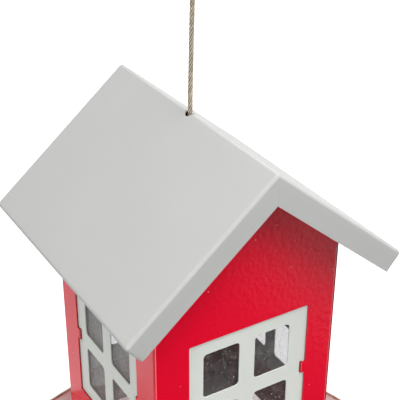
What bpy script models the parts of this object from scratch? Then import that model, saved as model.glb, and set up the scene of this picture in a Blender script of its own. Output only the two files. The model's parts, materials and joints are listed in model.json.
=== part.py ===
"""Hanging sheet-metal bird-feeder house: folded roof, riveted walls, windows, square tray and wire rope.

Metres, +Z up. The origin is the point that hangs, inside the top of the rope's loop, and the front wall
faces -Y. Everything else is placed from the `eaves` empty: on the walls' centre line, at the eaves' height.
"""

import math

import bmesh
import bpy
from mathutils import Matrix, Vector

# Driving dimensions
HANG = Vector((0.0024, 0.0045, 0.200))  # the hanging point, as seen from the eaves empty
WALL = 0.140  # outside width and depth of the walls
SHEET = 0.001  # steel sheet
GAP = 0.0003  # clearance between pieces that touch
BEND = 0.0015  # mid-surface radius of every fold
ARC_STEPS = 4

PITCH = math.radians(40)
RIDGE_Z = 0.061  # where the two roof planes would meet
PANEL = 0.1308  # ridge to eave, along the slope
ROOF_LENGTH = 0.194
ROOF_Y = 0.003  # the roof sits this far back of the walls' centre
FASCIA = 0.0153
ROPE_HOLE = Vector((0.0006, 0.0045))
ROPE_HOLE_RADIUS = 0.0036

FLOOR_Z = -0.224  # top of the tray floor
WALL_FOOT = FLOOR_Z + GAP
LAP = 0.014  # seam flange
PORT_WIDTH = 0.064
PORT_HEIGHT = 0.014

WINDOW_WIDTH = 0.0914
WINDOW_TOP = -0.0600
WINDOW_HEIGHT = 0.1038
FRONT_OPENING = (-0.0448, 0.0475)  # the front opening was cut a little to the right of its frame
WINDOW_Z = WINDOW_TOP - WINDOW_HEIGHT / 2
FRAME_OVERLAP = 0.005
FRAME_THICK = 0.0008
LIGHT_WIDTH = 0.0276  # one of the four openings in a window frame
LIGHT_HEIGHT = 0.0349
BAR = 0.0119  # glazing bar
LIGHT_CORNER = 0.003
GLAZING_WIDTH = 0.082
GLAZING_THICK = 0.0015
TAB_HEIGHT = 0.009
TAB_REACH = 0.0028  # how far a tab's mid-line stands into the opening
TAB_HOOK = 0.005
SLOT_WIDTH = 0.0048
SLOT_HEIGHT = 0.010

TRAY_TURN = math.radians(15.3)  # the tray hangs turned against the walls
TRAY_RIM = 0.1081  # centre to rim, mid-sheet
TRAY_FLOOR = 0.1029
RIM_WIRE_Z = -0.2050
RIM_WIRE_RADIUS = 0.0013
RIM_CORNER = 0.012
RIM_TOP = RIM_WIRE_Z - RIM_WIRE_RADIUS - GAP
DRAIN_RADIUS = 0.002
DRAIN_AT = 0.086

ROPE_RADIUS = 0.0015
ROPE_BORE = 0.0019  # holes that guide the rope
STRAP_Z = FLOOR_Z + 0.0185
STRAP_WIDTH = 0.016
STRAP_THICK = 0.0012
STRAP_UPTURN = 0.011
WASHER_RADIUS = 0.010
WASHER_THICK = 0.0012
STOP_RADIUS = 0.004
STOP_HEIGHT = 0.008
FERRULE_BOTTOM = 0.150
FERRULE_HEIGHT = 0.015
LOOP_RADIUS = 0.009

RIVET_HEIGHTS = (-0.020, -0.080, -0.145, -0.200)
RIVET_HEAD = 0.0025
RIVET_SHANK = 0.0016
RIVET_DOME = 0.0011

SIDES = {"front": 0.0, "right": math.pi / 2, "back": math.pi, "left": -math.pi / 2}


def clear_scene():
    for old in list(bpy.data.objects):
        bpy.data.objects.remove(old, do_unlink=True)


def material(name, color, roughness, metallic=0.0, alpha=1.0):
    finish = bpy.data.materials.new(name)
    finish.use_nodes = True
    shader = finish.node_tree.nodes["Principled BSDF"]
    shader.inputs["Base Color"].default_value = (*color, 1.0)
    shader.inputs["Roughness"].default_value = roughness
    shader.inputs["Metallic"].default_value = metallic
    shader.inputs["Alpha"].default_value = alpha
    return finish


def add_object(name, mesh, finish=None, turn=0.0):
    piece = bpy.data.objects.new(name, mesh)
    bpy.context.scene.collection.objects.link(piece)
    piece.parent = EAVES
    piece.rotation_euler.z = turn
    if finish:
        mesh.materials.append(finish)
    return piece


def helper(piece):
    piece.hide_render = True
    piece.display_type = "WIRE"
    return piece


def boolean(piece, other, operation):
    cut = piece.modifiers.new(operation.lower(), "BOOLEAN")
    cut.operation = operation
    cut.solver = "EXACT"
    cut.object = helper(other)


def mesh_of(name, bm):
    bmesh.ops.recalc_face_normals(bm, faces=bm.faces)
    mesh = bpy.data.meshes.new(name)
    bm.to_mesh(mesh)
    bm.free()
    return mesh


def prism(name, outline, low, high, axes="xyz", finish=None, turn=0.0):
    """A flat outline in the first two of `axes`, extruded from low to high along the third."""
    bm = bmesh.new()
    order = [axes.index(axis) for axis in "xyz"]
    verts = []
    for u, v in outline:
        spot = (u, v, low)
        verts.append(bm.verts.new([spot[i] for i in order]))
    face = bm.faces.new(verts)
    shift = (0.0, 0.0, high - low)
    swept = bmesh.ops.extrude_face_region(bm, geom=[face])["geom"]
    moved = [item for item in swept if isinstance(item, bmesh.types.BMVert)]
    bmesh.ops.translate(bm, verts=moved, vec=[shift[i] for i in order])
    return add_object(name, mesh_of(name, bm), finish, turn)


def lathe(name, profile, steps=20, finish=None, place=Matrix()):
    """A solid of revolution about its own Z from (radius, height) points, top to bottom on the outside."""
    bm = bmesh.new()
    verts = [bm.verts.new((radius, 0.0, height)) for radius, height in profile]
    edges = [bm.edges.new(pair) for pair in zip(verts, verts[1:])]
    if profile[0][0] > 0:
        edges.append(bm.edges.new((verts[-1], verts[0])))
    bmesh.ops.spin(
        bm, geom=verts + edges, cent=(0, 0, 0), axis=(0, 0, 1), angle=math.tau, steps=steps
    )
    bmesh.ops.remove_doubles(bm, verts=bm.verts, dist=1e-6)
    mesh = mesh_of(name, bm)
    mesh.shade_smooth()
    mesh.set_sharp_from_angle(angle=math.radians(35))
    piece = add_object(name, mesh, finish)
    piece.matrix_local = place
    return piece


def tube(name, points, radius, finish, resolution=2, cyclic=False):
    curve = bpy.data.curves.new(name, "CURVE")
    curve.dimensions = "3D"
    curve.bevel_depth = radius
    curve.bevel_resolution = resolution
    curve.use_fill_caps = not cyclic
    spline = curve.splines.new("POLY")
    spline.points.add(len(points) - 1)
    for spot, place in zip(spline.points, points):
        spot.co = (*place, 1.0)
    spline.use_cyclic_u = cyclic
    return add_object(name, curve, finish)


def rounded_path(corners, radius, steps=ARC_STEPS):
    """An open 2D path through the corners, each inner one turned into an arc."""
    points = [Vector(corners[0])]
    for before, corner, after in zip(corners, corners[1:], corners[2:]):
        corner = Vector(corner)
        inward = (Vector(before) - corner).normalized()
        outward = (Vector(after) - corner).normalized()
        half = inward.angle(outward) / 2
        centre = corner + (inward + outward).normalized() * (radius / math.sin(half))
        first = corner + inward * (radius / math.tan(half)) - centre
        last = corner + outward * (radius / math.tan(half)) - centre
        sweep = first.angle_signed(last)
        for step in range(steps + 1):
            points.append(centre + Matrix.Rotation(-sweep * step / steps, 2) @ first)
    points.append(Vector(corners[-1]))
    return points


def sheet_outline(path, thickness=SHEET):
    """The closed outline of a sheet of this thickness whose mid-line is the path."""
    left = []
    right = []
    for i, spot in enumerate(path):
        ahead = path[min(i + 1, len(path) - 1)] - spot
        behind = spot - path[max(i - 1, 0)]
        ahead = (ahead if ahead.length else behind).normalized()
        behind = (behind if behind.length else ahead).normalized()
        middle = (ahead + behind).normalized()
        side = Vector((-middle.y, middle.x)) * (thickness / 2 / middle.dot(ahead))
        left.append(spot + side)
        right.append(spot - side)
    return left + right[::-1]


def rounded_rectangle(width, height, radius, centre=(0.0, 0.0), steps=ARC_STEPS):
    points = []
    for quarter in range(4):
        sign_u = 1 if quarter in (0, 3) else -1
        sign_v = 1 if quarter < 2 else -1
        middle_u = centre[0] + sign_u * (width / 2 - radius)
        middle_v = centre[1] + sign_v * (height / 2 - radius)
        for step in range(steps + 1):
            angle = math.pi / 2 * (quarter + step / steps)
            points.append(
                (middle_u + radius * math.cos(angle), middle_v + radius * math.sin(angle))
            )
    return points


def smooth_route(knots, spacing):
    """Evenly spaced points on a Catmull-Rom curve through the knots."""
    knots = [Vector(knot) for knot in knots]
    padded = [2 * knots[0] - knots[1], *knots, 2 * knots[-1] - knots[-2]]
    fine = []
    for p0, p1, p2, p3 in zip(padded, padded[1:], padded[2:], padded[3:]):
        for step in range(24):
            t = step / 24
            fine.append(
                0.5
                * (
                    2 * p1
                    + (p2 - p0) * t
                    + (2 * p0 - 5 * p1 + 4 * p2 - p3) * t * t
                    + (3 * p1 - p0 - 3 * p2 + p3) * t**3
                )
            )
    fine.append(knots[-1])
    length = sum((b - a).length for a, b in zip(fine, fine[1:]))
    count = max(2, round(length / spacing))
    route = [fine[0]]
    travelled = 0.0
    for a, b in zip(fine, fine[1:]):
        step = (b - a).length
        while len(route) < count and travelled + step >= length * len(route) / count:
            share = (length * len(route) / count - travelled) / step
            route.append(a.lerp(b, share))
        travelled += step
    route.append(fine[-1])
    return route


def roof_line(depth):
    """Left eave to right eave in X and Z, this far under the roof's outer planes, ridge rounded."""
    slope = Vector((math.cos(PITCH), math.sin(PITCH)))
    inward = Vector((math.sin(PITCH), -math.cos(PITCH)))
    eave = Vector((0, RIDGE_Z)) - slope * (PANEL - depth) + inward * depth
    apex = Vector((0, RIDGE_Z - depth / math.cos(PITCH)))
    corners = [eave, apex, Vector((-eave.x, eave.y))]
    radius = BEND + SHEET / 2 - depth
    if radius > 0:
        return rounded_path(corners, radius, 6)
    return corners


def make_roof(finish):
    """One folded sheet: two slopes, a flange under each eave and a chevron fascia on each gable."""
    inward = Vector((math.sin(PITCH), -math.cos(PITCH)))
    line = roof_line(SHEET / 2)
    foot = line[0] + inward * (FASCIA - SHEET / 2)
    corners = [foot, line[0], Vector((0, RIDGE_Z - SHEET / 2 / math.cos(PITCH)))]
    corners += [line[-1], Vector((-foot.x, foot.y))]
    section = sheet_outline(rounded_path(corners, BEND, 6))
    front = ROOF_Y - ROOF_LENGTH / 2
    back = ROOF_Y + ROOF_LENGTH / 2
    lip = 0.0002  # the fascia's edges stop just inside the slopes' outer faces
    roof = prism("roof", section, front + lip, back - lip, "xzy", finish)
    upper = roof_line(lip)
    lower = roof_line(FASCIA)
    side = Vector((math.cos(PITCH), math.sin(PITCH))) * (FASCIA - lip)
    lower[0] = lower[0] - side
    lower[-1] = Vector((-lower[0].x, lower[0].y))
    chevron = upper + lower[::-1]
    for name, start in (("fascia_front", front), ("fascia_back", back - SHEET)):
        boolean(roof, prism(name, chevron, start, start + SHEET, "xzy"), "UNION")
    hole = lathe("rope_hole_cutter", [(0, 0.1), (ROPE_HOLE_RADIUS, 0.1), (ROPE_HOLE_RADIUS, 0), (0, 0)])
    hole.location = (*ROPE_HOLE, 0.0)
    boolean(roof, hole, "DIFFERENCE")
    return roof


def roof_void():
    """Everything above the roof's underside, to trim the wall tops."""
    under = SHEET + GAP
    flat = BEND * 2
    apex = RIDGE_Z - under / math.cos(PITCH) - flat * math.tan(PITCH)
    reach = 0.12
    low = RIDGE_Z - under / math.cos(PITCH) - reach * math.tan(PITCH)
    top = 0.1
    outline = [(-reach, low), (-flat, apex), (flat, apex), (reach, low), (reach, top), (-reach, top)]
    return prism("roof_void", outline, -reach, reach, "xzy")


def opening_edges(side):
    if side == "front":
        return FRONT_OPENING
    return (-WINDOW_WIDTH / 2, WINDOW_WIDTH / 2)


def window_cutter(side):
    left, right = opening_edges(side)
    centre = ((left + right) / 2, WINDOW_Z)
    outline = rounded_rectangle(right - left, WINDOW_HEIGHT, 0.001, centre, 2)
    return prism(f"opening_{side}", outline, -WALL, -WALL / 4, "xzy", turn=SIDES[side])


def port_cutter(side):
    centre = (0, WALL_FOOT)
    outline = rounded_rectangle(PORT_WIDTH, 2 * PORT_HEIGHT, 0.004, centre)
    return prism(f"port_{side}", outline, -WALL, -WALL / 4, "xzy", turn=SIDES[side])


def tab_line(side, hand):
    """How far a tab's mid-line is from the middle of the wall."""
    return abs(opening_edges(side)[hand > 0]) - TAB_REACH


def window_tab(side, hand):
    """A tongue of the wall that reaches into the opening, through the frame's slot and back behind it."""
    line = tab_line(side, hand)
    thick = SHEET * 0.9
    front = -WALL / 2 + SHEET / 2
    behind = front + SHEET / 2 + GAP + FRAME_THICK + GAP + thick / 2
    corners = [(line + TAB_REACH + 0.003, front), (line, front), (line, behind)]
    corners.append((line + TAB_HOOK, behind))
    path = rounded_path([(hand * x, y) for x, y in corners], 0.0006, 3)
    low = WINDOW_Z - TAB_HEIGHT / 2
    outline = sheet_outline(path, thick)
    return prism(f"tab_{side}_{hand}", outline, low, low + TAB_HEIGHT, turn=SIDES[side])


def make_wall(name, corners, sides, finish):
    """A strip of sheet folded to the plan corners, with its windows, seed ports and tabs."""
    wall = prism(name, sheet_outline(rounded_path(corners, BEND)), WALL_FOOT, 0.08, finish=finish)
    boolean(wall, roof_void(), "DIFFERENCE")
    for side in sides:
        boolean(wall, window_cutter(side), "DIFFERENCE")
        boolean(wall, port_cutter(side), "DIFFERENCE")
    for side in sides:
        for hand in (1, -1):
            boolean(wall, window_tab(side, hand), "UNION")
    return wall


def make_walls(finish):
    """Two folded pieces; the front and left one tucks its flanges inside the other and is riveted."""
    outer = WALL / 2 - SHEET / 2
    inner = outer - SHEET - GAP
    end = inner - LAP
    raw = outer - SHEET
    front_left = [(inner, -end), (inner, -outer), (-outer, -outer), (-outer, inner), (-end, inner)]
    back_right = [(outer, -raw), (outer, outer), (-raw, outer)]
    make_wall("front_left_wall", front_left, ("front", "left"), finish)
    make_wall("back_right_wall", back_right, ("right", "back"), finish)


def make_window(side, frame_finish, glazing_finish):
    """A pressed frame of four lights behind the opening and a clear sheet bonded to its back."""
    face = -WALL / 2 + SHEET + GAP
    wide = WINDOW_WIDTH + 2 * FRAME_OVERLAP
    tall = WINDOW_HEIGHT + 2 * FRAME_OVERLAP
    outline = rounded_rectangle(wide, tall, LIGHT_CORNER, (0, WINDOW_Z))
    frame = prism(
        f"window_frame_{side}", outline, face, face + FRAME_THICK, "xzy", frame_finish, SIDES[side]
    )
    for column in (-1, 1):
        for row in (-1, 1):
            centre = (column * (LIGHT_WIDTH + BAR) / 2, WINDOW_Z + row * (LIGHT_HEIGHT + BAR) / 2)
            light = rounded_rectangle(LIGHT_WIDTH, LIGHT_HEIGHT, LIGHT_CORNER, centre)
            name = f"light_{side}_{column}_{row}"
            cutter = prism(name, light, face - SHEET, face + 2 * SHEET, "xzy", turn=SIDES[side])
            boolean(frame, cutter, "DIFFERENCE")
    for hand in (-1, 1):
        middle = hand * (tab_line(side, hand) + SHEET - SLOT_WIDTH / 2)
        slot = rounded_rectangle(SLOT_WIDTH, SLOT_HEIGHT, 0.0003, (middle, WINDOW_Z), 1)
        name = f"slot_{side}_{hand}"
        cutter = prism(name, slot, face - SHEET, face + 2 * SHEET, "xzy", turn=SIDES[side])
        boolean(frame, cutter, "DIFFERENCE")
    back = face + FRAME_THICK + GAP
    sheet = rounded_rectangle(GLAZING_WIDTH, tall, 0.001, (0, WINDOW_Z), 1)
    prism(
        f"window_glazing_{side}", sheet, back, back + GLAZING_THICK, "xzy", glazing_finish, SIDES[side]
    )


def rivet(name, side, across, height, grip, finish):
    """A dome-headed blind rivet through the wall of this side, its shank pointing inwards."""
    shank_end = grip + 0.0012
    tail = RIVET_SHANK + 0.0006
    clear = GAP
    profile = [(0, RIVET_DOME + clear)]
    for step in range(1, 5):
        angle = math.pi / 2 * step / 4
        profile.append((RIVET_HEAD * math.sin(angle), clear + RIVET_DOME * math.cos(angle)))
    profile += [(RIVET_SHANK, clear), (RIVET_SHANK, -grip - clear), (tail, -grip - clear)]
    profile += [(tail, -shank_end - clear), (0, -shank_end - clear)]
    lay_flat = Matrix.Rotation(math.pi / 2, 4, "X")
    place = Matrix.Rotation(SIDES[side], 4, "Z") @ Matrix.Translation((across, -WALL / 2, height))
    return lathe(name, profile, 12, finish, place @ lay_flat)


def rivet_hole(name, piece, side, across, height):
    """A clearance hole for one rivet."""
    radius = RIVET_SHANK + GAP
    profile = [(0, 0.01), (radius, 0.01), (radius, -0.01), (0, -0.01)]
    lay_flat = Matrix.Rotation(math.pi / 2, 4, "X")
    place = Matrix.Rotation(SIDES[side], 4, "Z") @ Matrix.Translation((across, -WALL / 2, height))
    boolean(piece, lathe(name, profile, 12, None, place @ lay_flat), "DIFFERENCE")


def rivet_seams(finish):
    """Four rivets down each seam, through the outer wall and the flange inside it."""
    inset = WALL / 2 - SHEET - GAP - LAP / 2
    seams = {"front_right": ("right", -inset), "back_left": ("back", inset)}
    walls = [bpy.data.objects[name] for name in ("front_left_wall", "back_right_wall")]
    for seam, (side, across) in seams.items():
        for number, height in enumerate(RIVET_HEIGHTS, 1):
            for wall in walls:
                rivet_hole(f"hole_{seam}_{number}_{wall.name}", wall, side, across, height)
            grip = 2 * SHEET + GAP
            rivet(f"rivet_{seam}_{number}", side, across, height, grip, finish)


def make_strap(finish, rivet_finish):
    """The strap that keeps the walls centred on the rope, riveted to the front and back walls."""
    end = WALL / 2 - SHEET - GAP - STRAP_THICK / 2
    top = STRAP_Z + STRAP_UPTURN
    corners = [(-end, top), (-end, STRAP_Z), (end, STRAP_Z), (end, top)]
    outline = sheet_outline(rounded_path(corners, BEND), STRAP_THICK)
    half = STRAP_WIDTH / 2
    strap = prism("base_strap", outline, -half, half, "xzy", finish, math.pi / 2)
    profile = [(0, 0.01), (ROPE_BORE, 0.01), (ROPE_BORE, -0.01), (0, -0.01)]
    bore = lathe("strap_bore", profile, 16, None, Matrix.Translation((0, 0, STRAP_Z)))
    boolean(strap, bore, "DIFFERENCE")
    height = STRAP_Z + STRAP_UPTURN / 2 + 0.001
    for side, wall_name in (("front", "front_left_wall"), ("back", "back_right_wall")):
        wall = bpy.data.objects[wall_name]
        rivet_hole(f"strap_hole_{side}_wall", wall, side, 0.0, height)
        rivet_hole(f"strap_hole_{side}", strap, side, 0.0, height)
        grip = SHEET + GAP + STRAP_THICK
        rivet(f"strap_rivet_{side}", side, 0.0, height, grip, rivet_finish)


def make_tray(finish, wire_finish):
    """A shallow square pan with flared sides, drain holes and a wire round its rim."""
    thick = SHEET
    rings = (
        (TRAY_FLOOR, FLOOR_Z - thick),
        (TRAY_RIM + thick / 2, RIM_TOP),
        (TRAY_RIM - thick / 2, RIM_TOP),
        (TRAY_FLOOR - thick, FLOOR_Z),
    )
    bm = bmesh.new()
    loops = []
    for half, height in rings:
        outline = rounded_rectangle(2 * half, 2 * half, RIM_CORNER - TRAY_RIM + half, steps=6)
        loops.append([bm.verts.new((x, y, height)) for x, y in outline])
    for lower, upper in zip(loops, loops[1:]):
        for i, vert in enumerate(lower):
            after = (i + 1) % len(lower)
            bm.faces.new((vert, lower[after], upper[after], upper[i]))
    bm.faces.new(loops[0])
    bm.faces.new(loops[-1])
    tray = add_object("tray", mesh_of("tray", bm), finish, TRAY_TURN)
    profile = [(0, 0.005), (ROPE_BORE, 0.005), (ROPE_BORE, -0.005), (0, -0.005)]
    bore = lathe("tray_bore", profile, 16, None, Matrix.Translation((0, 0, FLOOR_Z)))
    boolean(tray, bore, "DIFFERENCE")
    for quarter in range(4):
        profile = [(0, 0.005), (DRAIN_RADIUS, 0.005), (DRAIN_RADIUS, -0.005), (0, -0.005)]
        turn = Matrix.Rotation(TRAY_TURN + quarter * math.pi / 2, 4, "Z")
        place = turn @ Matrix.Translation((DRAIN_AT, DRAIN_AT, FLOOR_Z))
        drain = lathe(f"drain_{quarter}", profile, 12, None, place)
        boolean(tray, drain, "DIFFERENCE")
    outline = rounded_rectangle(2 * TRAY_RIM, 2 * TRAY_RIM, RIM_CORNER, steps=6)
    route = [(x, y, RIM_WIRE_Z) for x, y in outline]
    wire = tube("tray_rim_wire", route, RIM_WIRE_RADIUS, wire_finish, cyclic=True)
    wire.rotation_euler.z = TRAY_TURN


def make_rope(rope_finish, metal_finish):
    """The wire rope from the stop under the tray up to its ferrule, with the hanging loop above."""
    under = FLOOR_Z - SHEET - GAP
    washer = [(ROPE_BORE, under), (WASHER_RADIUS, under), (WASHER_RADIUS, under - WASHER_THICK)]
    washer.append((ROPE_BORE, under - WASHER_THICK))
    lathe("tray_washer", washer, 24, metal_finish)
    top = under - WASHER_THICK - GAP
    edge = 0.0008
    stop = [(0, top), (STOP_RADIUS - edge, top), (STOP_RADIUS, top - edge)]
    stop += [(STOP_RADIUS, top - STOP_HEIGHT + edge), (STOP_RADIUS - edge, top - STOP_HEIGHT)]
    stop.append((0, top - STOP_HEIGHT))
    lathe("rope_stop", stop, 20, metal_finish)
    knots = [
        (0.0, 0.0, top + GAP),
        (0.0, 0.0, STRAP_Z),
        (0.0, 0.0022, -0.080),
        (0.0003, 0.0045, 0.062),
        (0.0004, 0.0046, 0.073),
        (0.0009, 0.0046, 0.096),
        (0.0020, 0.0045, 0.130),
        (HANG.x, HANG.y, FERRULE_BOTTOM - GAP),
    ]
    tube("wire_rope", smooth_route(knots, 0.0075), ROPE_RADIUS, rope_finish)
    centre = HANG.xy
    leg = ROPE_RADIUS + GAP / 2
    ferrule = rounded_rectangle(0.0088, 0.0050, 0.0024, centre, 5)
    body = prism("ferrule", ferrule, FERRULE_BOTTOM, FERRULE_BOTTOM + FERRULE_HEIGHT, finish=metal_finish)
    trim = body.modifiers.new("edges", "BEVEL")
    trim.width = 0.0006
    trim.segments = 2
    trim.limit_method = "ANGLE"
    trim.angle_limit = math.radians(60)
    start = FERRULE_BOTTOM + FERRULE_HEIGHT + GAP
    crown = HANG.z + ROPE_RADIUS - LOOP_RADIUS
    half = [(leg, start), (leg + 0.0004, start + 0.004), (0.0062, crown - 0.009)]
    half.append((LOOP_RADIUS - 0.0004, crown - 0.002))
    for step in range(1, 5):
        angle = math.pi / 2 * step / 4
        half.append((LOOP_RADIUS * math.cos(angle), crown + LOOP_RADIUS * math.sin(angle)))
    knots = [(centre.x + x, centre.y, z) for x, z in half]
    knots += [(centre.x - x, centre.y, z) for x, z in half[-2::-1]]
    tube("hanging_loop", smooth_route(knots, 0.004), ROPE_RADIUS, rope_finish)


clear_scene()
EAVES = bpy.data.objects.new("eaves", None)
EAVES.location = -HANG
bpy.context.scene.collection.objects.link(EAVES)

RED = material("red_powder_coat", (0.72, 0.006, 0.024), 0.30)
PALE = material("pale_grey_powder_coat", (0.58, 0.61, 0.58), 0.45)
CLEAR = material("clear_acrylic", (0.85, 0.87, 0.86), 0.08, alpha=0.25)
STEEL = material("galvanised_steel", (0.50, 0.48, 0.44), 0.40, 1.0)
ROPE = material("wire_rope", (0.36, 0.31, 0.24), 0.45, 0.8)
ALUMINIUM = material("aluminium", (0.70, 0.70, 0.69), 0.35, 1.0)

make_roof(PALE)
make_walls(RED)
for SIDE in SIDES:
    make_window(SIDE, PALE, CLEAR)
rivet_seams(RED)
make_strap(STEEL, RED)
make_tray(PALE, STEEL)
make_rope(ROPE, ALUMINIUM)
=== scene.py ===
import json
import math
from functools import partial

import bmesh
import bpy
from mathutils import Matrix, Quaternion, Vector, noise

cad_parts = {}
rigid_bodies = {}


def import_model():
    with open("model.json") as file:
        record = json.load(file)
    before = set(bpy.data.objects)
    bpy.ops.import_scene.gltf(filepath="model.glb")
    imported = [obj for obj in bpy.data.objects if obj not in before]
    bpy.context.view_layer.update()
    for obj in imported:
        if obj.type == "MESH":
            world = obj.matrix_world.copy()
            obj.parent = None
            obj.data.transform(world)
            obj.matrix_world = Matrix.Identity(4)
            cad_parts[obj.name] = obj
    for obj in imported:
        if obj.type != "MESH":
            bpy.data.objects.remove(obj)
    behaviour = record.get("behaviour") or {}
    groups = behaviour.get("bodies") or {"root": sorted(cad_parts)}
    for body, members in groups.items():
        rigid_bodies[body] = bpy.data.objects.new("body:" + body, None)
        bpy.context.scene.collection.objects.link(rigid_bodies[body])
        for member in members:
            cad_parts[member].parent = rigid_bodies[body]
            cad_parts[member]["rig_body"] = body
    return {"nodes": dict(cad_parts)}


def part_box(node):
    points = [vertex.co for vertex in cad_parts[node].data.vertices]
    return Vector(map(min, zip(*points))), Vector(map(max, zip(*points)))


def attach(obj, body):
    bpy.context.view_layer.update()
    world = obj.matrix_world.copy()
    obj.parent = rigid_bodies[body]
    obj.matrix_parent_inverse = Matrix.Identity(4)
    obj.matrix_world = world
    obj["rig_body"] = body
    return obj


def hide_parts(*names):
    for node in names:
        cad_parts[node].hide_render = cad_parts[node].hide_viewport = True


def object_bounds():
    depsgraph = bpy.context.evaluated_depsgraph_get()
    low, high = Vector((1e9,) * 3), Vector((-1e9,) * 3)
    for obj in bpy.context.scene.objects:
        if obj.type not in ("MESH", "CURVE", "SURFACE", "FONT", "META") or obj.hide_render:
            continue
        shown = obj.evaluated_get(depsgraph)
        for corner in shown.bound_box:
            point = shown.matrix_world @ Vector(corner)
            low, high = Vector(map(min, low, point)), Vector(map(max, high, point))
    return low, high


# Hanging sheet-metal bird house: painted roof, red walls, four windows, a square tray, all on one wire rope.
# Metres, +Z up, the hanging point at the origin, the front wall towards -Y.

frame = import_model()
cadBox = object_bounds()
nodes = frame["nodes"]
leftWall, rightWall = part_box("front_left_wall"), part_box("back_right_wall")
centre = (leftWall[0] + rightWall[1]) / 2
eaves = Vector((centre.x, centre.y, -0.200))  # on the walls' centre line; pieces are drawn from here


def tone(red, green, blue):  # a display colour as the linear one that shaders take
    shares = (value / 255 for value in (red, green, blue))
    return tuple(((v + 0.055) / 1.055) ** 2.4 if v > 0.04 else v / 12.92 for v in shares)


class Wire:  # a node's output; sums on it add Math nodes
    def __init__(self, tree, out=None):
        self.tree = tree
        self.out = out

    def node(self, kind, settings=(), inputs=(), output=0):
        made = self.tree.nodes.new("ShaderNode" + kind)
        for name, value in dict(settings).items():
            setattr(made, name, value)
        for name, value in dict(inputs).items():
            if isinstance(value, Wire):
                self.tree.links.new(value.out, made.inputs[name])
            elif isinstance(value, tuple) and made.inputs[name].type == "RGBA":
                made.inputs[name].default_value = (*value[:3], 1.0)
            else:
                made.inputs[name].default_value = value
        return Wire(self.tree, made.outputs[output])

    def also(self, name):  # another output of the same node
        return Wire(self.tree, self.out.node.outputs[name])

    def maths(self, operation, a, b=0.0):
        return self.node("Math", {"operation": operation}, {0: a, 1: b})

    def __add__(self, other):
        return self.maths("ADD", self, other)

    def __radd__(self, other):
        return self.maths("ADD", other, self)

    def __sub__(self, other):
        return self.maths("SUBTRACT", self, other)

    def __rsub__(self, other):
        return self.maths("SUBTRACT", other, self)

    def __mul__(self, other):
        return self.maths("MULTIPLY", self, other)

    def __rmul__(self, other):
        return self.maths("MULTIPLY", other, self)

    def __pow__(self, other):
        return self.maths("POWER", self, other)

    def __lt__(self, other):
        return self.maths("LESS_THAN", self, other)

    def __gt__(self, other):
        return self.maths("GREATER_THAN", self, other)

    def steps(self, low, high, toLow=0.0, toHigh=1.0):  # a smooth rise from low to high
        values = {"Value": self, "From Min": low, "From Max": high, "To Min": toLow, "To Max": toHigh}
        return self.node("MapRange", {"interpolation_type": "SMOOTHSTEP"}, values)

    def stretched(self, by):
        return self.node("VectorMath", {"operation": "MULTIPLY"}, {0: self, 1: by})

    def cloud(self, size, detail=2.0, rough=0.5):  # soft noise; size is the width of its patches in metres
        values = {"Vector": self, "Scale": 1 / size, "Detail": detail, "Roughness": rough}
        return self.node("TexNoise", {}, values)

    def specks(self, spacing, radius, share):  # sparse round dots on a jittered grid
        cells = self.node("TexVoronoi", {}, {"Vector": self, "Scale": 1 / spacing}, "Distance")
        return cells.steps(radius / spacing, 0.6 * radius / spacing) * (cells.also("Color") > 1 - share)

    def blendTo(self, other, share):  # self and other are colours
        return self.node("Mix", {"data_type": "RGBA"}, {0: share, 6: self, 7: other}, 2)

    def bump(self, depth):
        return self.node("Bump", {}, {"Strength": 1.0, "Distance": depth, "Height": self})


def mixed(share, low, high):  # two plain colours mixed by a value
    return share.node("Mix", {"data_type": "RGBA"}, {0: share, 6: low, 7: high}, 2)


def newFinish(name):
    finish = bpy.data.materials.new(name)
    finish.use_nodes = True
    finish.node_tree.nodes.clear()
    start = Wire(finish.node_tree)
    return finish, start, start.node("TexCoord", output="Object")


def closeFinish(start, shader):
    output = start.tree.nodes.new("ShaderNodeOutputMaterial")
    start.tree.links.new(shader.out, output.inputs["Surface"])


def redCoat():
    look = {
        "paint": tone(236, 6, 47),
        "deep": tone(228, 3, 41),
        "inner": tone(118, 6, 22),  # painted shade: the walls' inside is darkened as if unlit
        "paintedShadeWithin": 0.0695,  # from the walls' centre line
        "dust": tone(240, 150, 150),
        "grit": tone(96, 8, 20),
        "drift": 0.05,
        "peel": 0.0030,
        "peelDepth": 0.000120,
        "dustSpecks": (0.0085, 0.00060, 0.40),  # spacing, radius and share of the cells that hold one
        "gritSpecks": (0.019, 0.00055, 0.30),
    }
    finish, start, where = newFinish("redPowderCoat")
    drift = where.cloud(look["drift"], 2.0)
    peel = where.cloud(look["peel"], 1.0) + 0.25 * where.cloud(look["peel"] / 3, 1.0)
    dust = where.specks(*look["dustSpecks"])
    grit = where.specks(*look["gritSpecks"])
    paint = mixed(drift, look["paint"], look["deep"])
    paint = paint.blendTo(look["dust"], 0.75 * dust).blendTo(look["grit"], 0.8 * grit)
    x = start.node("SeparateXYZ", {}, {0: where}, 0)
    reach = start.maths("MAXIMUM", start.maths("ABSOLUTE", x), start.maths("ABSOLUTE", x.also(1)))
    # painted shade: faces within the walls' inner face take the dark interior tone
    paint = paint.blendTo(look["inner"], 0.9 * (reach < look["paintedShadeWithin"]))
    shader = start.node("BsdfPrincipled", {}, {
        "Base Color": paint,
        "Roughness": 0.17 + 0.05 * drift + 0.3 * dust,
        "IOR": 1.45,
        "Normal": peel.bump(look["peelDepth"]),
    })
    closeFinish(start, shader)
    return finish


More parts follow.
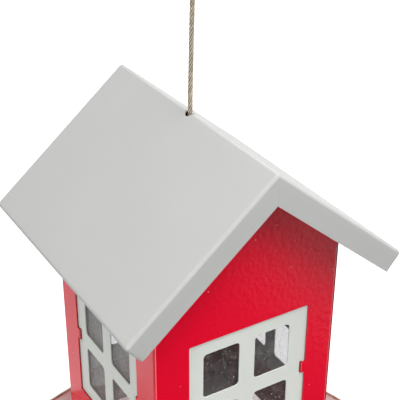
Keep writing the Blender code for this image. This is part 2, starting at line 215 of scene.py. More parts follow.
def paleCoat(name, bright, dark):
    look = {
        "scuff": tone(232, 235, 233),
        "grit": tone(120, 118, 112),
        "drift": 0.045,
        "peel": 0.0016,
        "peelDepth": 0.000012,
        "gritSpecks": (0.017, 0.00032, 0.16),
        "streaks": (0.013, 0.00022, 0.07),
        "streakSquash": 0.16,  # the smaller, the longer
    }
    finish, start, where = newFinish(name)
    drift = where.cloud(look["drift"], 3.0)
    peel = where.cloud(look["peel"], 2.0)
    grit = where.specks(*look["gritSpecks"])
    streaks = where.stretched((1.0, look["streakSquash"], 1.0)).specks(*look["streaks"])
    worn = streaks * where.cloud(0.012, 2.0).steps(0.45, 0.62)
    paint = mixed(drift, dark, bright)
    paint = paint.blendTo(look["scuff"], 0.7 * worn).blendTo(look["grit"], 0.6 * grit)
    shader = start.node("BsdfPrincipled", {}, {
        "Base Color": paint,
        "Roughness": 0.42 + 0.08 * drift - 0.1 * worn,
        "IOR": 1.45,
        "Normal": peel.bump(look["peelDepth"]),
    })
    closeFinish(start, shader)
    return finish


def clearSheet():
    look = {
        "dust": tone(214, 210, 208),
        "mirror": (1.0, 1.0, 1.0),
        "through": (0.86, 0.86, 0.865),
        "haze": 0.016,
        "dots": 0.40,
        "dotSpecks": (0.0034, 0.00060, 0.55),
        "lint": 0.13,
        "lintSpecks": (0.0052, 0.00055, 0.60),
        "wisps": 0.09,
        "wispSize": 0.0045,
        "dirtiest": 0.9,
    }
    finish, start, where = newFinish("clearAcrylic")
    facing = start.node("LayerWeight", {}, {"Blend": 0.5}, "Facing")
    shine = 0.04 + 0.96 * facing ** 5.0  # how much clean plastic reflects
    fog = 0.5 + where.cloud(0.006, 6.0, 0.7).steps(0.42, 0.80)
    lint = where.stretched((1.0, 1.0, 0.3)).specks(*look["lintSpecks"])
    dots = where.specks(*look["dotSpecks"])
    wisps = where.stretched((1.0, 1.0, 0.5)).cloud(look["wispSize"], 6.0, 0.75).steps(0.54, 0.70)
    dirt = look["haze"] * fog + look["dots"] * dots + look["lint"] * lint + look["wisps"] * wisps
    dirt = start.maths("MINIMUM", dirt, look["dirtiest"])
    dull = dirt.steps(0.0, 0.02)  # clean sheet mirrors, dust scatters
    gloss = start.node("BsdfPrincipled", {}, {
        "Base Color": mixed(dull, look["mirror"], look["dust"]),
        "Metallic": 1.0 - dull,
        "Roughness": 0.06 + 0.5 * dirt,
    })
    clear = start.node("BsdfTransparent", {}, {"Color": look["through"]})
    share = shine + dirt * (1.0 - shine)
    closeFinish(start, start.node("MixShader", {}, {"Fac": share, 1: clear, 2: gloss}))
    return finish


def bareMetal(name, bright, dark, rough, scratch):
    finish, start, where = newFinish(name)
    stain = where.cloud(0.006, 4.0, 0.6)
    brushed = where.stretched(scratch).cloud(0.0006, 3.0)
    shader = start.node("BsdfPrincipled", {}, {
        "Base Color": mixed(stain.steps(0.3, 0.7), dark, bright),
        "Metallic": 1.0,
        "Roughness": rough + 0.18 * (stain - 0.5) + 0.1 * (brushed - 0.5),
        "Normal": brushed.bump(0.000008),
    })
    closeFinish(start, shader)
    return finish


def zincPlate():
    look = {"bright": tone(206, 207, 204), "dark": tone(166, 168, 168), "flake": 0.006}
    finish, start, where = newFinish("zincPlate")
    cells = where.node("TexVoronoi", {}, {"Vector": where, "Scale": 1 / look["flake"]}, "Color") * 1.0
    grain = where.cloud(0.0009, 2.0)
    shader = start.node("BsdfPrincipled", {}, {
        "Base Color": mixed(cells, look["dark"], look["bright"]),
        "Metallic": 1.0,
        "Roughness": 0.34 + 0.16 * cells + 0.05 * grain,
        "Normal": grain.bump(0.000010),
    })
    closeFinish(start, shader)
    return finish


def ropeSteel():
    # the groove colour is painted shade for the creases between the strands
    look = {"bright": tone(255, 244, 224), "dark": tone(170, 156, 132), "groove": tone(74, 64, 52)}
    look["wires"], look["wireDepth"] = 7, 0.00009
    finish, start, where = newFinish("ropeSteel")
    lay = start.node("UVMap", {"uv_map": "lay"}, output=0)
    across = start.node("SeparateXYZ", {}, {0: lay}, 0)
    groove = start.maths("SINE", (across * look["wires"] + across.also(1)) * math.tau)
    stain = where.cloud(0.004, 3.0, 0.6)
    # stains, with painted shade in the grooves between the wires
    worn = stain.steps(0.3, 0.75) * 0.7 + 0.15 * (groove + 1.0)
    # painted shade: away from each strand's crest the colour darkens towards the groove tone
    litCrest = start.maths("COSINE", across * math.tau).steps(0.15, 0.90)
    shader = start.node("BsdfPrincipled", {}, {
        "Base Color": mixed(worn, look["dark"], look["bright"]).blendTo(look["groove"], 1.0 - litCrest),
        "Metallic": 0.20,
        "Roughness": 0.40 + 0.12 * stain,
        "Normal": groove.bump(look["wireDepth"]),
    })
    closeFinish(start, shader)
    return finish


finishes = {
    "red": redCoat(),
    # painted light: the roof's copy of the pale paint is made darker to offset the stronger light it gets,
    # and the tray's copy brighter and slightly cyan to offset its shade and the red walls' bounce
    "pale": paleCoat("palePowderCoat", tone(181, 182, 180), tone(176, 177, 175)),
    "frame": paleCoat("palePowderCoatFrame", tone(221, 226, 219), tone(216, 220, 214)),
    "tray": paleCoat("palePowderCoatTrayShadeLifted", tone(238, 244, 240), tone(232, 237, 233)),
    "clear": clearSheet(),
    "rim": bareMetal("rimWire", tone(222, 214, 202), tone(184, 170, 152), 0.34, (1.0, 1.0, 0.15)),
    "zinc": zincPlate(),
    "aluminium": bareMetal("aluminium", tone(214, 214, 212), tone(176, 176, 174), 0.34, (1.0, 1.0, 0.2)),
    "rope": ropeSteel(),
}
print("finishes", len(finishes))


def frameBody(node):
    return nodes[node]["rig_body"]


def addPiece(name, bm, finish, body, stands, place=Matrix()):  # stands names the frame nodes it replaces
    bmesh.ops.recalc_face_normals(bm, faces=bm.faces)
    mesh = bpy.data.meshes.new(name)
    bm.to_mesh(mesh)
    bm.free()
    mesh.transform(place)
    mesh.shade_smooth()
    mesh.materials.append(finishes[finish])
    piece = bpy.data.objects.new(name, mesh)
    bpy.context.scene.collection.objects.link(piece)
    piece.location = eaves
    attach(piece, body)
    if stands:
        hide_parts(*stands)
    return piece


def softEdges(piece, width, angle=40, segments=2):
    rounded = piece.modifiers.new("softEdges", "BEVEL")
    rounded.width = width
    rounded.segments = segments
    rounded.limit_method = "ANGLE"
    rounded.angle_limit = math.radians(angle)
    flats = piece.modifiers.new("flats", "WEIGHTED_NORMAL")
    flats.weight = 100
    flats.keep_sharp = False


def refined(node, finish, body, width, reshape=None):  # the frame's own piece with its raw edges rounded
    bm = bmesh.new()
    bm.from_mesh(nodes[node].data)
    bmesh.ops.remove_doubles(bm, verts=bm.verts, dist=2e-6)
    bmesh.ops.dissolve_limit(bm, angle_limit=math.radians(0.5), verts=bm.verts, edges=bm.edges)
    if reshape:
        reshape(bm)
    piece = addPiece(node + "_coated", bm, finish, body, [node], Matrix.Translation(-eaves))
    softEdges(piece, width)


def ringLoft(bm, rings, closed=True):  # skins rings of equally many points
    loops = [[bm.verts.new(point) for point in ring] for ring in rings]
    for lower, upper in zip(loops, loops[1:]):
        for i in range(len(lower) if closed else len(lower) - 1):
            after = (i + 1) % len(lower)
            bm.faces.new((lower[i], lower[after], upper[after], upper[i]))
    return loops


def turned(profile, steps):  # (radius, height) points spun about Z; ends on the axis close it
    bm = bmesh.new()
    rings = []
    for radius, height in profile:
        angles = [math.tau * step / steps for step in range(steps)]
        rings.append([(radius * math.cos(a), radius * math.sin(a), height) for a in angles])
    if profile[0][0] > 0:
        rings.append(rings[0])
    ringLoft(bm, rings)
    bmesh.ops.remove_doubles(bm, verts=bm.verts, dist=1e-7)
    return bm


def roundedSquare(halfX, halfY, radius, steps=8):
    points = []
    for quarter in range(4):
        signX = 1 if quarter in (0, 3) else -1
        signY = 1 if quarter < 2 else -1
        for step in range(steps + 1):
            angle = math.pi / 2 * (quarter + step / steps)
            x = signX * (halfX - radius) + radius * math.cos(angle)
            points.append((x, signY * (halfY - radius) + radius * math.sin(angle)))
    return points


def smoothPath(knots, spacing):  # evenly spaced points on a Catmull-Rom curve
    knots = [Vector(knot) for knot in knots]
    ends = [2 * knots[0] - knots[1], *knots, 2 * knots[-1] - knots[-2]]
    fine = []
    for before, first, last, after in zip(ends, ends[1:], ends[2:], ends[3:]):
        for step in range(24):
            t = step / 24
            square = (2 * before - 5 * first + 4 * last - after) * t * t
            cube = (3 * first - before - 3 * last + after) * t**3
            fine.append(0.5 * (2 * first + (last - before) * t + square + cube))
    fine.append(knots[-1])
    lengths = [0.0]
    for a, b in zip(fine, fine[1:]):
        lengths.append(lengths[-1] + (b - a).length)
    count = round(lengths[-1] / spacing)
    path = []
    at = 0
    for step in range(count + 1):
        goal = lengths[-1] * step / count
        while at < len(fine) - 2 and lengths[at + 1] < goal:
            at += 1
        share = (goal - lengths[at]) / (lengths[at + 1] - lengths[at])
        path.append(fine[at].lerp(fine[at + 1], share))
    return path, lengths[-1]


shot = {
    "place": (-0.3045, -0.5107, 0.1306),
    "azimuth": -31.25,  # degrees, with the elevation and the roll
    "elevation": 29.324,
    "roll": 0.23,
    "lens": 91.43,
}


def aimCamera():
    camera = bpy.data.cameras.new("camera")
    camera.lens = shot["lens"]
    camera.sensor_width = 36.0
    camera.clip_start, camera.clip_end = 0.01, 50.0
    held = bpy.data.objects.new("camera", camera)
    bpy.context.scene.collection.objects.link(held)
    azimuth, elevation = math.radians(shot["azimuth"]), math.radians(shot["elevation"])
    ahead = Vector((-math.sin(azimuth), math.cos(azimuth), -math.tan(elevation)))
    held.location = shot["place"]
    held.rotation_mode = "QUATERNION"
    upright = ahead.to_track_quat("-Z", "Y")
    held.rotation_quaternion = upright @ Quaternion((0, 0, 1), math.radians(shot["roll"]))
    bpy.context.scene.camera = held


aimCamera()
print("camera")


rope = {
    "radius": 0.00165,
    "lay": 0.0189,  # one turn of a strand round the rope
    "wireLay": 0.0032,  # one turn of a wire round its strand
    "strands": 6,
    "sides": 10,
    "spacing": 0.0006,
    "foot": -0.2265,
    "strap": -0.2055,
    "ferrule": (0.150, 0.165),
    "loop": 0.009,
    "leg": 0.00165,
    "hang": (0.0024, 0.0045, 0.200),
}


def ropeKnots():  # up through the tray, the strap and the roof, then round the loop into the ferrule
    hangX, hangY, hangZ = rope["hang"]
    low, high = rope["ferrule"]
    stem = [
        (0.0, 0.0, rope["foot"]),
        (0.0, 0.0, rope["strap"]),
        (0.0, 0.0022, -0.080),
        (0.0003, 0.0045, 0.062),
        (0.0004, 0.0046, 0.073),
        (0.0009, 0.0046, 0.096),
        (0.0017, 0.0045, 0.130),
        (hangX, hangY, low - 0.0003),
    ]
    crown = hangZ + 0.00105 - rope["loop"]
    half = [(rope["leg"], high), (rope["leg"] + 0.0004, high + 0.004), (0.0062, crown - 0.009)]
    half.append((rope["loop"] - 0.0004, crown - 0.002))
    for step in range(1, 5):
        angle = math.pi / 2 * step / 4
        half.append((rope["loop"] * math.cos(angle), crown + rope["loop"] * math.sin(angle)))
    loop = [(hangX + x, hangY, z) for x, z in half] + [(hangX - x, hangY, z) for x, z in half[-2::-1]]
    return stem, loop


def strandedRope(name, path, stands):
    bm = bmesh.new()
    layer = bm.loops.layers.uv.new("lay")
    strandRadius = rope["radius"] / 3
    ringRadius = rope["radius"] - strandRadius
    side = Vector((0, 1, 0))
    frames = []
    travelled = 0.0
    for i, point in enumerate(path):
        ahead = (path[min(i + 1, len(path) - 1)] - path[max(i - 1, 0)]).normalized()
        side = (side - ahead * side.dot(ahead)).normalized()
        if i:
            travelled += (point - path[i - 1]).length
        frames.append((point, ahead, side, ahead.cross(side), travelled))
    climb = math.tau * ringRadius / rope["lay"]
    for strand in range(rope["strands"] + 1):
        core = strand == rope["strands"]
        rings = []
        marks = []
        for point, ahead, side, other, s in frames:
            turn = math.tau * (strand / rope["strands"] + s / rope["lay"])
            out = side * math.cos(turn) + other * math.sin(turn)
            middle = point if core else point + out * ringRadius
            forward = ahead if core else (ahead + ahead.cross(out) * climb).normalized()
            around = forward.cross(out)
            wide = strandRadius * (1.04 if core else 1.0)
            angles = [math.tau * k / rope["sides"] for k in range(rope["sides"])]
            rings.append([middle + (out * math.cos(a) + around * math.sin(a)) * wide for a in angles])
            marks.append(s / rope["wireLay"])
        loops = ringLoft(bm, rings)
        bm.faces.new(loops[0])
        bm.faces.new(loops[-1])
        place = {vert: (k, marks[i]) for i, ring in enumerate(loops) for k, vert in enumerate(ring)}
        for ring in loops[:-1]:
            for vert in ring:
                for corner in vert.link_loops:
                    k, mark = place[corner.vert]
                    across = [place.get(v, (0, 0))[0] for v in corner.face.verts]
                    wraps = k == 0 and rope["sides"] - 1 in across
                    corner[layer].uv = ((rope["sides"] if wraps else k) / rope["sides"], mark)
    return addPiece(name, bm, "rope", "house", stands)


stemKnots, loopKnots = ropeKnots()
stemPath, stemLength = smoothPath(stemKnots, rope["spacing"])
loopPath, loopLength = smoothPath(loopKnots, rope["spacing"])
stem = strandedRope("rope_stem", stemPath, ["wire_rope"])
loop = strandedRope("rope_loop", loopPath, ["hanging_loop"])
print("rope", round(stemLength, 4), "and loop", round(loopLength, 4))


def pressedFerrule():
    sleeve = {"half": (0.0044, 0.0025), "corner": 0.0024, "edge": 0.0006, "presses": 3, "depth": 0.00035}
    low, high = rope["ferrule"]
    bm = bmesh.new()
    rings = []
    steps = 48
    for step in range(steps + 1):
        share = step / steps
        tip = min(share, 1 - share) * (high - low)
        inset = sleeve["edge"] * (1 - math.sqrt(max(0.0, 1 - (1 - min(1, tip / sleeve["edge"])) ** 2)))
        if tip > sleeve["edge"]:
            inset += sleeve["depth"] * max(0.0, math.cos(math.tau * (share * sleeve["presses"] - 0.5))) ** 2
        halfX, halfY = (half - inset for half in sleeve["half"])
        outline = roundedSquare(halfX, halfY, min(sleeve["corner"] - inset / 2, halfY - 1e-5), 6)
        rings.append([(x, y, low + share * (high - low)) for x, y in outline])
    loops = ringLoft(bm, rings)
    bm.faces.new(loops[0])
    bm.faces.new(loops[-1])
    hangX, hangY, _ = rope["hang"]
    place = Matrix.Translation((hangX, hangY, 0))
    return addPiece("ferrule_pressed", bm, "aluminium", "house", ["ferrule"], place)


def ropeStop():
    low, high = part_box("rope_stop")
    radius = (high.x - low.x) / 2
    top, bottom = high.z - eaves.z, low.z - eaves.z
    edge, groove, jaw = 0.0008, 0.00030, 0.0007
    profile = [(0.0, top), (radius - edge, top)]
    for angle in (0.5, 1.0, math.pi / 2):
        profile.append((radius - edge * (1 - math.sin(angle)), top - edge * (1 - math.cos(angle))))
    for share in (0.3, 0.5, 0.7):  # three rings left by the crimping jaws
        middle = top + share * (bottom - top)
        for offset, depth in ((jaw, 0.0), (0.0004, 0.7), (0.0, 1.0), (-0.0004, 0.7), (-jaw, 0.0)):
            profile.append((radius - groove * depth, middle + offset))
    for angle in (0.0, 0.5, 1.0):
        profile.append((radius - edge * (1 - math.cos(angle)), bottom + edge * (1 - math.sin(angle))))
    profile += [(radius - edge, bottom), (0.0018, bottom), (0.0017, bottom + 0.0004)]
    profile += [(0.0010, bottom + 0.0002), (0.0, bottom + 0.0001)]  # the rope's cut end
    addPiece("rope_stop_crimped", turned(profile, 36), "aluminium", "house", ["rope_stop"])


def trayWasher():
    low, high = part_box("tray_washer")
    radius, bore = (high.x - low.x) / 2, 0.0019
    top, bottom, edge = high.z - eaves.z, low.z - eaves.z, 0.0003
    profile = [(bore, top - edge), (bore + edge, top), (radius - edge, top), (radius, top - edge)]
    profile += [(radius, bottom + edge), (radius - edge, bottom)]
    profile += [(bore + edge, bottom), (bore, bottom + edge)]
    body = frameBody("tray_washer")
    addPiece("tray_washer_plated", turned(profile, 48), "zinc", body, ["tray_washer"])


ferrule = pressedFerrule()
ropeStop()
trayWasher()
route = [tuple(eaves + point) for point in stemPath]
route = [tuple(eaves + point) for point in loopPath]
print("ferrule, stop and washer")


roof = {
    "pitch": math.radians(40),
    "ridge": 0.061,
    "panel": 0.1308,
    "length": 0.194,
    "middle": 0.003,
    "fascia": 0.0153,
    "fold": 0.0013,  # outer radius of the folds along the edges
    "ridgeFold": 0.0014,
    "corner": 0.0010,
    "sheet": 0.001,
    "edge": 0.00028,
    "mitre": 0.00002,  # half the hairline where the fascia's halves meet
    "bow": 0.0003,  # how far each slope is sprung outwards
    "ripple": 0.00010,
    "waves": ((22, 0.6), (47, 0.4)),  # the ripple's scales and their shares
    "hole": (0.0006, 0.0045),
    "holeRadius": 0.0036,
    "upSteps": 40,
    "alongSteps": 60,
}


def slopePoint(up, depth):  # a point up the left slope and under its outer face, over the rounded ridge
    pitch = roof["pitch"]
    reach = roof["panel"] - depth * math.tan(pitch)
    bend = max(roof["ridgeFold"] - depth, 0.0)
    start = reach - bend * math.tan(pitch)
    if up <= start or bend == 0:
        x = (up - roof["panel"]) * math.cos(pitch) + depth * math.sin(pitch)
        return x, roof["ridge"] + (up - roof["panel"]) * math.sin(pitch) - depth * math.cos(pitch)
    left = pitch * (reach - up) / (reach - start)
    centre = roof["ridge"] - roof["ridgeFold"] / math.cos(pitch)
    return -bend * math.sin(left), centre + bend * math.cos(left)


def makeRoof():
    bm = bmesh.new()
    fold, length, corner = roof["fold"], roof["length"], roof["corner"]
    front = roof["middle"] - length / 2
    flat = (roof["panel"] - roof["ridgeFold"] * math.tan(roof["pitch"]) - fold) / (roof["panel"] - fold)
    ups = [flat * step / roof["upSteps"] for step in range(roof["upSteps"] + 1)]
    ups += [flat + (1 - flat) * step / 5 for step in range(1, 6)]
    alongs = [step / roof["alongSteps"] for step in range(roof["alongSteps"] + 1)]
    bends = [math.pi / 2 * k / 5 for k in range(6)]
    rings = [(fold * (1 - math.sin(a)), fold * (1 - math.cos(a))) for a in bends]
    rings += [(0.0, fold + (roof["fascia"] - fold) * k / 4) for k in range(1, 5)]
    turns = [math.pi / 2 * k / 4 for k in range(5)]
    for side in (-1, 1):

        def spot(up, along, depth, gap=0.0):
            x, z = slopePoint(up, depth)
            return Vector((-side * min(x, -gap), front + along, z))

        def bowed(u, v):
            point = spot(fold + u * (roof["panel"] - fold), fold + v * (length - 2 * fold), 0.0)
            swell = math.sin(math.pi * min(u / flat, 1.0)) * math.sin(math.pi * v)
            wave = sum(noise.noise(point * scale) * share for scale, share in roof["waves"])
            lift = roof["bow"] * swell + roof["ripple"] * wave * min(1.0, 6 * swell)
            return point + lift * Vector((side * math.sin(roof["pitch"]), 0, math.cos(roof["pitch"])))

        grid = [[bm.verts.new(bowed(u, v)) for v in alongs] for u in ups]
        for lower, upper in zip(grid, grid[1:]):
            for k in range(len(alongs) - 1):
                bm.faces.new((lower[k], lower[k + 1], upper[k + 1], upper[k]))
        paths = []
        for inset, depth in rings:
            bend = max(corner - inset, 0.0)
            low = inset + bend
            reach = roof["panel"] - depth * math.tan(roof["pitch"])
            gap = roof["mitre"] if depth > roof["ridgeFold"] else 0.0
            sides = [low + u * (reach - low) for u in ups]
            path = [spot(up, inset, depth, gap) for up in reversed(sides)]
            for turn in turns:
                path.append(spot(low - bend * math.sin(turn), low - bend * math.cos(turn), depth))
            path += [spot(inset, low + v * (length - 2 * low), depth) for v in alongs]
            for turn in turns:
                path.append(spot(low - bend * math.cos(turn), length - low + bend * math.sin(turn), depth))
            path += [spot(up, length - inset, depth, gap) for up in sides]
            paths.append(path)
        ringLoft(bm, paths, closed=False)
    bmesh.ops.remove_doubles(bm, verts=bm.verts, dist=2e-6)
    bmesh.ops.dissolve_degenerate(bm, edges=bm.edges, dist=1e-7)
    piece = addPiece("roof_folded", bm, "pale", "roof", ["roof"])
    top = max(piece.data.polygons, key=lambda face: face.area)
    if top.normal.z < 0:
        piece.data.flip_normals()
    thick = piece.modifiers.new("sheet", "SOLIDIFY")
    thick.thickness = roof["sheet"]
    thick.offset = -1.0
    thick.use_even_offset = True
    drill = punch("ropeHole", piece, roof["holeRadius"], (*roof["hole"], roof["ridge"]))
    hole = piece.modifiers.new("ropeHole", "BOOLEAN")
    hole.operation = "DIFFERENCE"
    hole.object = drill
    softEdges(piece, roof["edge"], 55)


def punch(name, piece, radius, place, steps=32, reach=0.02):  # a hidden cutter that moves with its piece
    bm = turned([(0.0, reach), (radius, reach), (radius, -reach), (0.0, -reach)], steps)
    bmesh.ops.recalc_face_normals(bm, faces=bm.faces)
    mesh = bpy.data.meshes.new(name)
    bm.to_mesh(mesh)
    bm.free()
    cutter = bpy.data.objects.new(name, mesh)
    bpy.context.scene.collection.objects.link(cutter)
    cutter.parent = piece
    cutter.location = place
    cutter.hide_render = True
    return cutter


makeRoof()
print("roof")


window = {
    "wallEdge": 0.00022,
    "frameEdge": 0.00018,
    "sheetEdge": 0.00025,
    "strapEdge": 0.00020,
    "middle": -0.112,
    "openings": {"front": (-0.0448, 0.0475)},
    "opening": (-0.0457, 0.0457),
    "tab": 0.0028,  # how far a tab's mid-line is inside the opening
    "slot": (0.0048, 0.010),
    "pocket": (-0.06835, -0.06792),  # a slot's pressed floor, front and back
    "pocketLap": 0.0006,  # how far it goes on behind the slot's edge
    "pocketGap": 0.00075,  # from a tab's mid-line
    "halfTab": 0.001,
    "press": 0.00024,
}


def pressedSlots(bm, side, facing):  # the floor of the pocket that each tab goes through
    edges = window["openings"].get(side, window["opening"])
    wide, tall = window["slot"]
    front, back = window["pocket"]
    for edge in edges:
        hand = math.copysign(1, edge)
        line = abs(edge) - window["tab"]
        inner = line + window["halfTab"] - wide - window["pocketLap"]
        outer = line - window["pocketGap"]
        size = Matrix.Diagonal((outer - inner, back - front, tall + 2 * window["pocketLap"], 1.0))
        spot = Matrix.Translation((hand * (inner + outer) / 2, (front + back) / 2, window["middle"]))
        bmesh.ops.create_cube(bm, size=1.0, matrix=Matrix.Translation(eaves) @ facing @ spot @ size)


def pressedOn(bm, facing):  # brings the clear sheet's outer face against its frame
    outward = facing @ Vector((0, -1, 0))
    face = max(vert.co.dot(outward) for vert in bm.verts)
    for vert in bm.verts:
        if vert.co.dot(outward) > face - 1e-5:
            vert.co += outward * window["press"]


for node in ("front_left_wall", "back_right_wall"):
    refined(node, "red", frameBody(node), window["wallEdge"])
for quarter, side in enumerate(("front", "right", "back", "left")):
    facing = Matrix.Rotation(quarter * math.pi / 2, 4, "Z")
    slotted, pressed = partial(pressedSlots, side=side, facing=facing), partial(pressedOn, facing=facing)
    refined(f"window_frame_{side}", "frame", "house", window["frameEdge"], slotted)
    refined(f"window_glazing_{side}", "clear", "house", window["sheetEdge"], pressed)
refined("base_strap", "zinc", frameBody("base_strap"), window["strapEdge"])
print("walls and windows")


def blindRivet(node, outward):
    low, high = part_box(node)
    head, dome, dimple, shank = 0.0025, 0.0011, 0.0008, 0.0016
    middle = (low + high) / 2
    reach = (high - low).dot(Vector(map(abs, outward)))
    tip = middle + outward * (reach / 2)
    profile = [(0.0, -0.0007), (dimple * 0.7, -0.0007), (dimple, -0.0002), (dimple + 0.0002, -0.0001)]
    for step in range(2, 9):
        angle = math.pi / 2 * step / 8
        profile.append((head * math.sin(angle), dome * (math.cos(angle) - 1)))
    profile += [(head - 0.0003, -dome - 0.0002), (shank, -dome - 0.0002), (shank, -reach + 0.0016)]
    profile += [(0.0022, -reach + 0.0012), (0.0020, -reach + 0.0002), (0.0, -reach)]  # the blind end's bulb
    turn = Vector((0, 0, 1)).rotation_difference(outward).to_matrix().to_4x4()
    place = Matrix.Translation(tip - eaves) @ turn
    addPiece(node + "_domed", turned(profile, 24), "red", "house", [node], place)


for number in range(1, 5):
    blindRivet(f"rivet_front_right_{number}", Vector((1, 0, 0)))
    blindRivet(f"rivet_back_left_{number}", Vector((0, 1, 0)))
blindRivet("strap_rivet_front", Vector((0, -1, 0)))
blindRivet("strap_rivet_back", Vector((0, 1, 0)))
print("rivets")


tray = {
    "turn": math.radians(15.3),
    "rim": 0.1081,
    "floor": 0.1029,
    "rimCorner": 0.012,
    "floorZ": -0.224,
    "rimTop": -0.2066,
    "wireZ": -0.2050,
    "wire": 0.0013,
    "sheet": 0.001,
    "fold": 0.0030,
    "edge": 0.00025,
    "drain": 0.002,
    "drainAt": 0.086,
    "bore": 0.0019,
}


def makeTray():
    bm = bmesh.new()
    bottom = tray["floorZ"] - tray["sheet"]
    lean = math.atan2(tray["rim"] - tray["floor"], tray["rimTop"] - bottom)
    outer = tray["floor"]
    profile = []
    rise = math.pi / 2 - lean
    back = tray["fold"] * math.tan(rise / 2)
    for step in range(7):
        angle = rise * step / 6
        across = outer - back + tray["fold"] * math.sin(angle)
        profile.append((across, bottom + tray["fold"] * (1 - math.cos(angle))))
    top = tray["rim"] + tray["sheet"] / 2
    first = profile[-1]
    for step in range(1, 7):
        share = step / 6
        profile.append((first[0] + share * (top - first[0]), first[1] + share * (tray["rimTop"] - first[1])))
    rings = []
    for half, height in profile:
        corner = tray["rimCorner"] - tray["rim"] + half
        rings.append([(x, y, height) for x, y in roundedSquare(half, half, max(corner, 0.002), 10)])
    loops = ringLoft(bm, rings)
    bm.faces.new(loops[0])
    piece = addPiece("tray_pan", bm, "tray", "tray", ["tray"], Matrix.Rotation(tray["turn"], 4, "Z"))
    floor = max(piece.data.polygons, key=lambda face: face.area)
    if floor.normal.z > 0:
        piece.data.flip_normals()
    thick = piece.modifiers.new("sheet", "SOLIDIFY")
    thick.thickness = tray["sheet"]
    thick.offset = -1.0
    thick.use_even_offset = True
    spots = [(tray["bore"], Vector((0, 0, tray["floorZ"])))]
    for quarter in range(4):
        turn = Matrix.Rotation(tray["turn"] + quarter * math.pi / 2, 4, "Z")
        spots.append((tray["drain"], turn @ Vector((tray["drainAt"], tray["drainAt"], tray["floorZ"]))))
    for number, (radius, spot) in enumerate(spots):
        hole = piece.modifiers.new(f"hole{number}", "BOOLEAN")
        hole.operation = "DIFFERENCE"
        hole.object = punch(f"trayHole{number}", piece, radius, spot, 24, 0.005)
    softEdges(piece, tray["edge"], 50)


def makeRimWire():
    bm = bmesh.new()
    outline = roundedSquare(tray["rim"], tray["rim"], tray["rimCorner"], 16)
    rings = []
    for i, (x, y) in enumerate(outline):
        before, after = Vector(outline[i - 1]), Vector(outline[(i + 1) % len(outline)])
        ahead = (after - before).normalized()
        out = Vector((ahead.y, -ahead.x))
        ring = []
        for k in range(14):
            angle = math.tau * k / 14
            flat = out * math.cos(angle) * tray["wire"]
            ring.append((x + flat.x, y + flat.y, tray["wireZ"] + tray["wire"] * math.sin(angle)))
        rings.append(ring)
    rings.append(rings[0])
    ringLoft(bm, rings)
    bmesh.ops.remove_doubles(bm, verts=bm.verts, dist=1e-7)
    turn = Matrix.Rotation(tray["turn"], 4, "Z")
    addPiece("tray_rim", bm, "rim", "tray", ["tray_rim_wire"], turn)


makeTray()
makeRimWire()
print("tray")


def softbox(name, toward, distance, size, power):
    lamp = bpy.data.lights.new(name, "AREA")
    lamp.shape = "SQUARE"
    lamp.size = size
    lamp.energy = power
    held = bpy.data.objects.new(name, lamp)
    bpy.context.scene.collection.objects.link(held)
    toward = Vector(toward).normalized()
    held.location = eaves + Vector((0, 0, -0.05)) + toward * distance
    held.rotation_mode = "QUATERNION"
    held.rotation_quaternion = toward.to_track_quat("Z", "Y")
    held.visible_glossy = False
    held.visible_camera = False


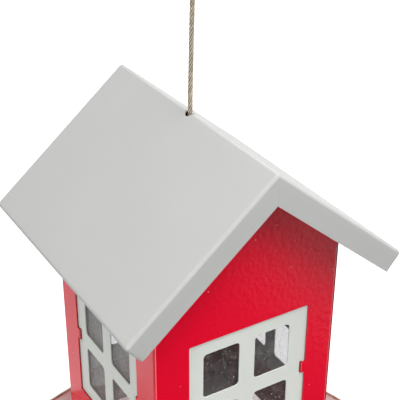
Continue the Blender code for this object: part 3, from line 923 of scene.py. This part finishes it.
studio = {
    "floorZ": cadBox[0].z - 1.2,
    "floor": 9.0,
    "paper": ((0.90, 0.90, 0.90), (0.92, 0.92, 0.92)),
    "paperGlow": 0.85,
    "ambient": (0.301, 0.559),  # light on dull surfaces, from below and from above
    "glow": 1.0,
    "dim": 0.02,
    "far": 0.25,
    "strip": 6.0,
}
patches = {  # what shiny surfaces mirror: each patch of the room by its soft borders
    "panel": (("east", 0.455, 0.545), ("up", -0.61, -0.56)),  # a pale panel on the dark side
    "shade": (("north", -0.25, -0.45), ("east", 0.05, 0.2), ("up", 0.1, -0.1)),
    "far": (("north", 0.69, 0.77), ("east", -0.1, -0.2)),
    "strip": (("east", -0.40, -0.32), ("east", 0.02, -0.06), ("north", -0.60, -0.70), ("up", -0.2, -0.3)),
}
lamps = {  # the side it stands on, its distance, size and power
    "keyLight": ((0.30, -0.60, 1.02), 1.4, 1.0, 18.6),
    "frontLight": ((-0.28, -0.62, 0.98), 1.4, 0.8, 6.0),
    "sideLight": ((-0.85, -0.28, -0.20), 1.4, 1.0, 5.8),
    "backLight": ((-0.45, 0.75, 0.45), 1.4, 1.0, 1.8),
    "rightLight": ((0.70, 0.35, 0.70), 1.4, 1.0, 4.0),
}


def makeStudio():
    bm = bmesh.new()
    half = studio["floor"]
    corners = [(-half, -half), (half, -half), (half, half), (-half, half)]
    bm.faces.new([bm.verts.new((x, y, studio["floorZ"])) for x, y in corners])
    mesh = bpy.data.meshes.new("studioFloor")
    bm.to_mesh(mesh)
    bm.free()
    floor = bpy.data.objects.new("studioFloor", mesh)
    bpy.context.scene.collection.objects.link(floor)
    paper, start, where = newFinish("paper")
    shader = start.node("BsdfPrincipled", {}, {
        "Base Color": mixed(where.cloud(0.5, 1.0), *studio["paper"]),
        "Roughness": 0.9,
        "Emission Color": (1.0, 1.0, 1.0),
        "Emission Strength": studio["paperGlow"],
    })
    closeFinish(start, shader)
    mesh.materials.append(paper)
    floor.visible_glossy = False
    floor.visible_diffuse = False

    world = bpy.data.worlds.new("studio")
    bpy.context.scene.world = world
    world.use_nodes = True
    world.node_tree.nodes.clear()
    start = Wire(world.node_tree)
    way = start.node("TexCoord", output="Generated")
    east = start.node("SeparateXYZ", {}, {0: way}, 0)
    ways = {"east": east, "north": east.also(1), "up": east.also(2)}
    patch = {}
    for name, borders in patches.items():
        patch[name] = math.prod(ways[side].steps(low, high) for side, low, high in borders)
    dull = start.node("LightPath", output="Is Diffuse Ray")
    straight = dull.also("Is Camera Ray")
    shade = (1.0 - patch["panel"]) * patch["shade"]
    seen = studio["glow"] + (studio["dim"] - studio["glow"]) * shade
    seen = seen - studio["far"] * patch["far"] + studio["strip"] * patch["strip"]
    seen = seen + (studio["glow"] - seen) * straight
    ambient = ways["up"].steps(-0.3, 0.9, *studio["ambient"])
    strength = seen + (ambient - seen) * dull
    glow = start.node("Background", {}, {"Color": (1.0, 1.0, 1.0), "Strength": strength})
    output = start.tree.nodes.new("ShaderNodeOutputWorld")
    start.tree.links.new(glow.out, output.inputs["Surface"])

    for name, lamp in lamps.items():
        softbox(name, *lamp)
    bpy.context.scene.view_settings.view_transform = "Standard"


makeStudio()
print("studio")
